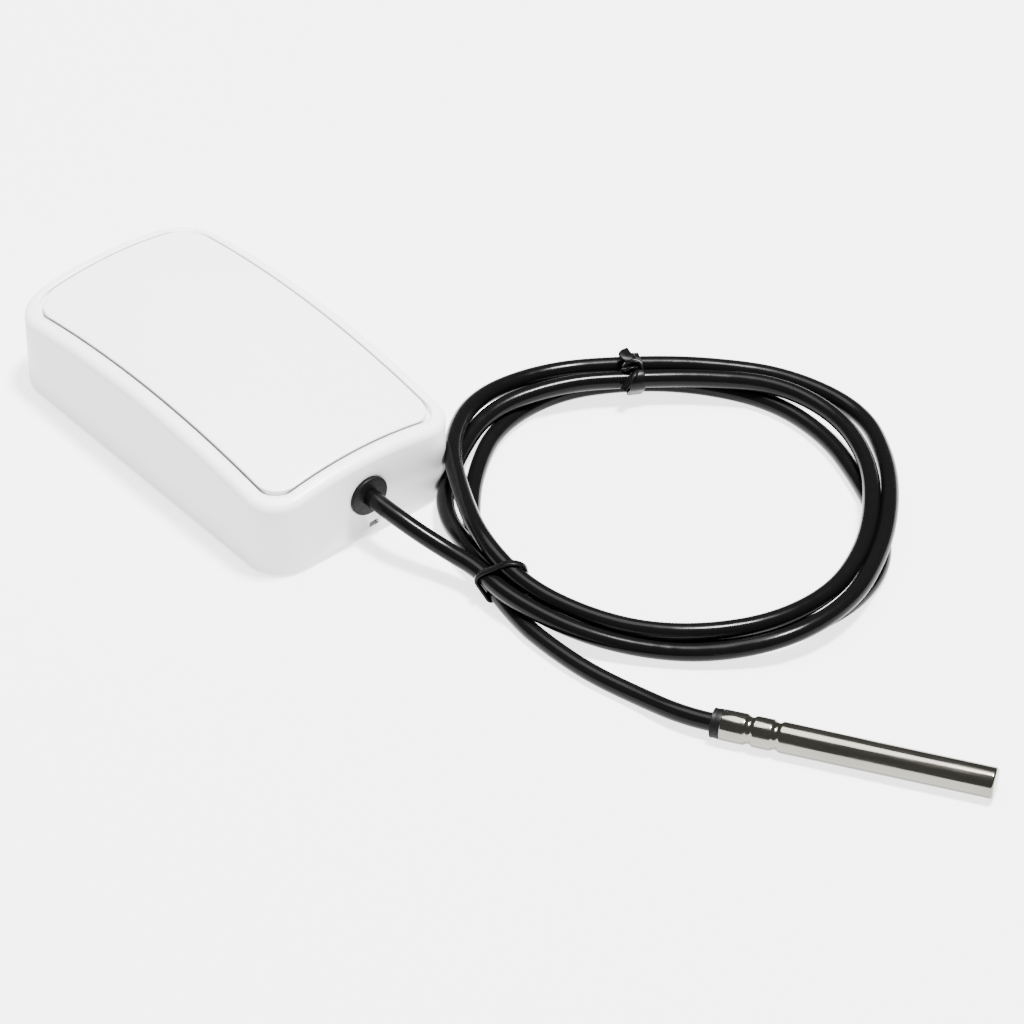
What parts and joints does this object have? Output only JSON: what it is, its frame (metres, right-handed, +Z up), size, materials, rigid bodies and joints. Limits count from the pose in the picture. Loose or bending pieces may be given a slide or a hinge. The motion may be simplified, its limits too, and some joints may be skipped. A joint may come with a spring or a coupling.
{
  "type": "temperature data logger",
  "caption": "White plastic box with an inlaid domed top and a cable grommet in one end; a tied coil of black cable ends in a steel probe.",
  "frame": {"origin": "on the surface it stands on, under the middle of the box", "axes": "+Z up out of the panel, +Y along the box away from the cable, the cable leaves towards -Y"},
  "size_m": [0.122, 0.2176, 0.024],
  "materials": {
    "white_plastic": "fine satin moulded surface, near white",
    "panel_plastic": "smooth satin white",
    "adhesive": "thin adhesive film",
    "black_rubber": "black, matte",
    "screw_steel": "zinc plated",
    "board": "green solder mask on glass laminate",
    "chip_plastic": "black moulded",
    "plated_metal": "nickel or tin plated",
    "ceramic": "matte ceramic",
    "cell_can": "bare cell can, unmarked",
    "connector_plastic": "natural nylon",
    "wire_insulation": "coloured insulation",
    "cable_jacket": "black, satin gloss",
    "tie_plastic": "black, slightly glossy",
    "probe_steel": "polished stainless, warm grey",
    "bead_glass": "glassy bead",
    "potting": "filled resin"
  },
  "bodies": {
    "root": {"top_cover": "white_plastic", "front_panel": "panel_plastic", "panel_adhesive": "adhesive", "base_cover": "white_plastic", "base_seal": "black_rubber", "cover_screws": "screw_steel", "cable_grommet": "black_rubber", "circuit_board": "board", "board_screws": "screw_steel", "microcontroller": "chip_plastic", "memory_chip": "chip_plastic", "clock_crystal": "plated_metal", "radio_module": "plated_metal", "antenna": "ceramic", "battery_holder": "chip_plastic", "battery_cells": "cell_can", "battery_contacts": "plated_metal", "battery_springs": "plated_metal", "probe_header": "connector_plastic", "probe_plug": "connector_plastic", "lead_wires": "wire_insulation", "inner_lead": "cable_jacket", "lead_clamp": "tie_plastic", "cable_lead": "cable_jacket", "cable_coil": "cable_jacket", "cable_tail": "cable_jacket", "upper_tie": "tie_plastic", "lower_tie": "tie_plastic", "probe_tube": "probe_steel", "probe_sleeve": "black_rubber", "probe_cable_end": "cable_jacket", "sensor_wires": "plated_metal", "temperature_sensor": "bead_glass", "probe_filling": "potting"}
  },
  "joints": []
}
